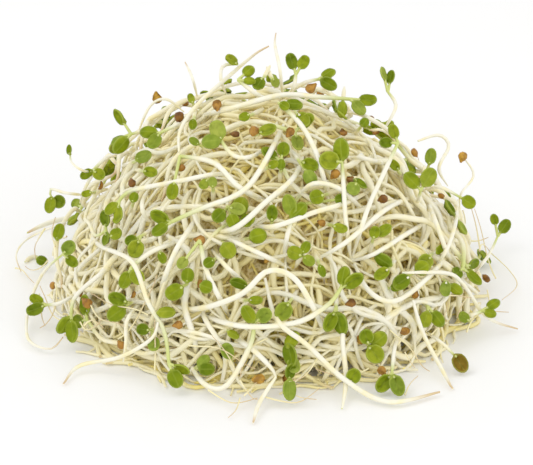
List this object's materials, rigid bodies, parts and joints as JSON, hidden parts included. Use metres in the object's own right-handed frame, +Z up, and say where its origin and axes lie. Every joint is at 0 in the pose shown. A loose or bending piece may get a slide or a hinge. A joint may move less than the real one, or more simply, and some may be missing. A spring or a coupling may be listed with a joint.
{
  "type": "heap of alfalfa sprouts",
  "caption": "Heap of fresh alfalfa sprouts: a dome of tangled pale stems with green seed leaves, brown seed hulls and thin root ends, and loose sprouts over it and round its foot",
  "frame": {"origin": "middle of the flat underside of the tangled heap, on the surface it lies on", "axes": "+Z up out of the surface; +X to the right and -Y towards the viewer as the picture shows the heap"},
  "size_m": [0.1154, 0.119, 0.0568],
  "materials": {
    "sprout_stem": "moist white to cream plant stem, faintly translucent, satin sheen",
    "sprout_leaf": "fresh yellow-green seed leaf with a paler rim and stalk, soft satin sheen"
  },
  "bodies": {
    "root": {"loose_back_left_loose": "sprout_leaf", "loose_back_loose": "sprout_leaf", "loose_back_right_loose": "sprout_leaf", "loose_big_arch": "sprout_stem", "loose_bright_bow": "sprout_stem", "loose_brown_leaf": "sprout_leaf", "loose_crown_arch": "sprout_leaf", "loose_crown_diagonal": "sprout_leaf", "loose_front_heart": "sprout_leaf", "loose_front_left_pair": "sprout_leaf", "loose_front_left_tail": "sprout_stem", "loose_front_right_pair": "sprout_leaf", "loose_front_right_tail": "sprout_stem", "loose_front_tail": "sprout_stem", "loose_left_big_loop": "sprout_leaf", "loose_left_diagonal": "sprout_leaf", "loose_left_upper": "sprout_leaf", "loose_long_curve": "sprout_leaf", "loose_low_pair": "sprout_leaf", "loose_middle_long": "sprout_stem", "loose_right_root": "sprout_stem", "loose_right_serpentine": "sprout_stem", "loose_right_shoulder": "sprout_leaf", "loose_right_strand": "sprout_stem", "loose_right_table_pair": "sprout_leaf", "loose_right_tail": "sprout_stem", "loose_table_pair": "sprout_leaf", "loose_tall_pair": "sprout_leaf", "tangled_sprouts": "sprout_stem"}
  },
  "joints": []
}
